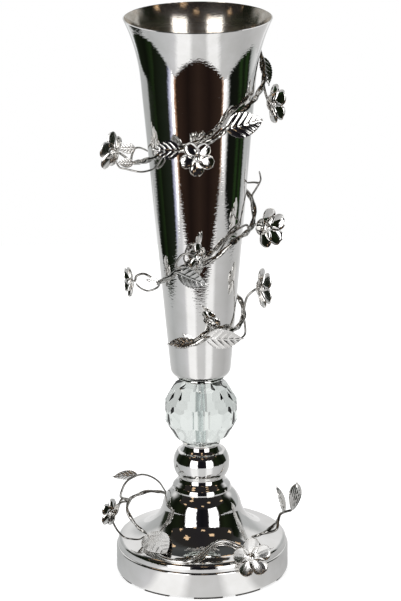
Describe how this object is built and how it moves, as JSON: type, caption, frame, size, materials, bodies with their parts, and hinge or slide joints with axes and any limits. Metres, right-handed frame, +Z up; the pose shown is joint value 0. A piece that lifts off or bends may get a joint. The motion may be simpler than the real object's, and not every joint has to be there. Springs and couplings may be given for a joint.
{
  "type": "trumpet vase",
  "caption": "Tall polished metal trumpet vase on a faceted clear ball, a turned stem and a bell foot, with a wire vine of leaves and flowers winding round the cup and the foot.",
  "frame": {"origin": "middle of the round foot, at the height of the table that it stands on", "axes": "+Z up along the vase's axis; -Y is the front that the picture shows; +X to the right of that front"},
  "size_m": [0.1734, 0.1456, 0.4731],
  "materials": {
    "mirror_nickel": "mirror polished bright nickel",
    "vine_nickel": "nickel plated cast wire, slightly uneven",
    "leaf_nickel": "nickel plated stamped sheet with raised veins",
    "flower_nickel": "nickel plated stamped sheet with fine petal lines",
    "cut_crystal": "clear faceted crystal glass, polished",
    "zinc_steel": "zinc plated steel",
    "gasket_rubber": "black rubber",
    "pad_rubber": "dark matt rubber"
  },
  "bodies": {
    "root": {"ballast_plate": "zinc_steel", "base_bell": "mirror_nickel", "base_flower_back": "flower_nickel", "base_flower_front": "flower_nickel", "base_flower_left": "flower_nickel", "base_leaf_back": "leaf_nickel", "base_leaf_edge": "leaf_nickel", "base_leaf_fan": "leaf_nickel", "base_leaf_light": "leaf_nickel", "base_leaf_loop": "leaf_nickel", "base_nut": "zinc_steel", "base_skirt": "mirror_nickel", "base_stem_back": "vine_nickel", "base_stem_left": "vine_nickel", "base_stem_right": "vine_nickel", "base_tendril_high_loop": "vine_nickel", "base_tendril_low_loop": "vine_nickel", "base_twig_right": "vine_nickel", "base_washer": "zinc_steel", "base_wire_front": "vine_nickel", "crystal_ball": "cut_crystal", "cup_flower_back": "flower_nickel", "cup_flower_front_lower": "flower_nickel", "cup_flower_front_middle": "flower_nickel", "cup_flower_front_upper": "flower_nickel", "cup_flower_left_middle": "flower_nickel", "cup_flower_left_upper": "flower_nickel", "cup_flower_right_lower": "flower_nickel", "cup_flower_right_middle": "flower_nickel", "cup_flower_right_upper": "flower_nickel", "cup_gasket": "gasket_rubber", "cup_leaf_back_lower": "leaf_nickel", "cup_leaf_back_upper": "leaf_nickel", "cup_leaf_broad": "leaf_nickel", "cup_leaf_end": "leaf_nickel", "cup_leaf_end_lower": "leaf_nickel", "cup_leaf_end_upper": "leaf_nickel", "cup_leaf_large": "leaf_nickel", "cup_leaf_left": "leaf_nickel", "cup_leaf_small": "leaf_nickel", "cup_leaf_top": "leaf_nickel", "cup_leaf_veined": "leaf_nickel", "cup_nut": "zinc_steel", "cup_seat_ring": "mirror_nickel", "cup_stem_lower": "vine_nickel", "cup_stem_middle": "vine_nickel", "cup_stem_upper": "vine_nickel", "cup_tendril_back_upper": "vine_nickel", "cup_tendril_end_loop": "vine_nickel", "cup_tendril_fork_arm": "vine_nickel", "cup_tendril_left_loop": "vine_nickel", "cup_tendril_low": "vine_nickel", "cup_tendril_strand": "vine_nickel", "cup_twig_fork": "vine_nickel", "cup_washer": "zinc_steel", "foot_pads": "pad_rubber", "stem_knop": "mirror_nickel", "stem_neck": "mirror_nickel", "tie_rod": "zinc_steel", "trumpet_cup": "mirror_nickel"}
  },
  "joints": []
}
